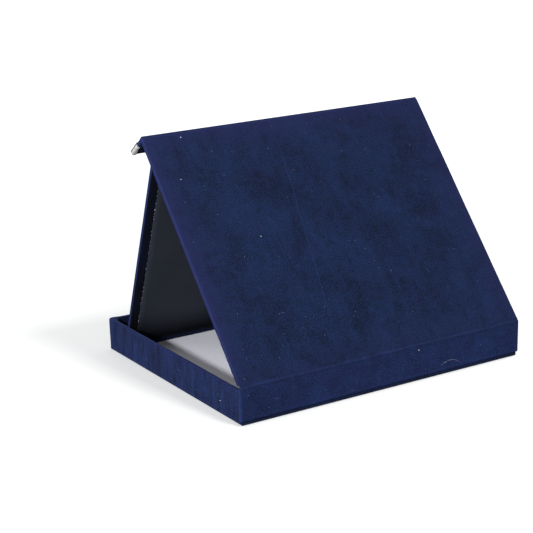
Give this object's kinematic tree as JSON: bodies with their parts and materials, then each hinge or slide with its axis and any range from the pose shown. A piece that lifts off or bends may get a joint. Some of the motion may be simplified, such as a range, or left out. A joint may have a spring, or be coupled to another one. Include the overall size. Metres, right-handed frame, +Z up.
{
  "type": "velvet presentation easel box",
  "caption": "Velvet-covered box with a hinged case that stands open as an easel on a prop panel set in its shallow tray.",
  "frame": {"origin": "on the table under the middle of the box as it stands open", "axes": "+X to the right along the hinges, +Y from the spine to the rear wall of the tray, +Z up"},
  "size_m": [0.324, 0.2564, 0.2357],
  "materials": {
    "navy_velvet": "short-pile navy velvet, brushed nap",
    "greyboard": "unbleached greyboard, hidden by the coverings",
    "black_lining": "matt black lining cloth",
    "pale_lining": "matt pale grey lining paper",
    "nickel": "bright nickel plate",
    "magnet_steel": "plain, hidden by the coverings"
  },
  "bodies": {
    "tray": {"base_cover": "navy_velvet", "base_board": "greyboard", "front_wall_board": "greyboard", "rear_wall_board": "greyboard", "left_wall_board": "greyboard", "right_wall_board": "greyboard", "tray_cover": "navy_velvet", "floor_lining": "pale_lining", "closure_magnets": "magnet_steel", "spine_hinge_cloth": "navy_velvet"},
    "spine": {"spine_board": "greyboard", "spine_cover": "navy_velvet", "spine_lining": "black_lining", "lid_hinge_cloth": "navy_velvet"},
    "lid": {"lid_board": "greyboard", "lid_cover": "navy_velvet", "lid_lining": "black_lining", "flap_hinge_cloth": "navy_velvet", "prop_hinge_cloth": "navy_velvet"},
    "flap": {"flap_board": "greyboard", "flap_cover": "navy_velvet", "flap_lining": "black_lining", "closure_keepers": "magnet_steel", "left_corner_cap": "nickel", "right_corner_cap": "nickel"},
    "prop": {"prop_board": "greyboard", "prop_cover": "navy_velvet", "prop_lining": "black_lining"}
  },
  "joints": [
    {"name": "spine_hinge", "type": "hinge", "parent": "tray", "child": "spine", "pos_m": [0, -0.12615, 0.002], "axis": [1, 0, 0], "range_deg": [0, 90]},
    {"name": "lid_hinge", "type": "hinge", "parent": "spine", "child": "lid", "pos_m": [0, -0.12765, 0.036], "axis": [1, 0, 0], "range_deg": [0, 40]},
    {"name": "flap_hinge", "type": "hinge", "parent": "lid", "child": "flap", "pos_m": [0, 0.03947, 0.23517], "axis": [1, 0, 0], "range_deg": [0, 90]},
    {"name": "prop_hinge", "type": "hinge", "parent": "lid", "child": "prop", "pos_m": [0, 0.03072, 0.21836], "axis": [1, 0, 0], "range_deg": [-59.4, 0]}
  ],
  "couplings": [
    {"joint": "prop_hinge", "follows": "lid_hinge", "ratio": -1.485}
  ]
}
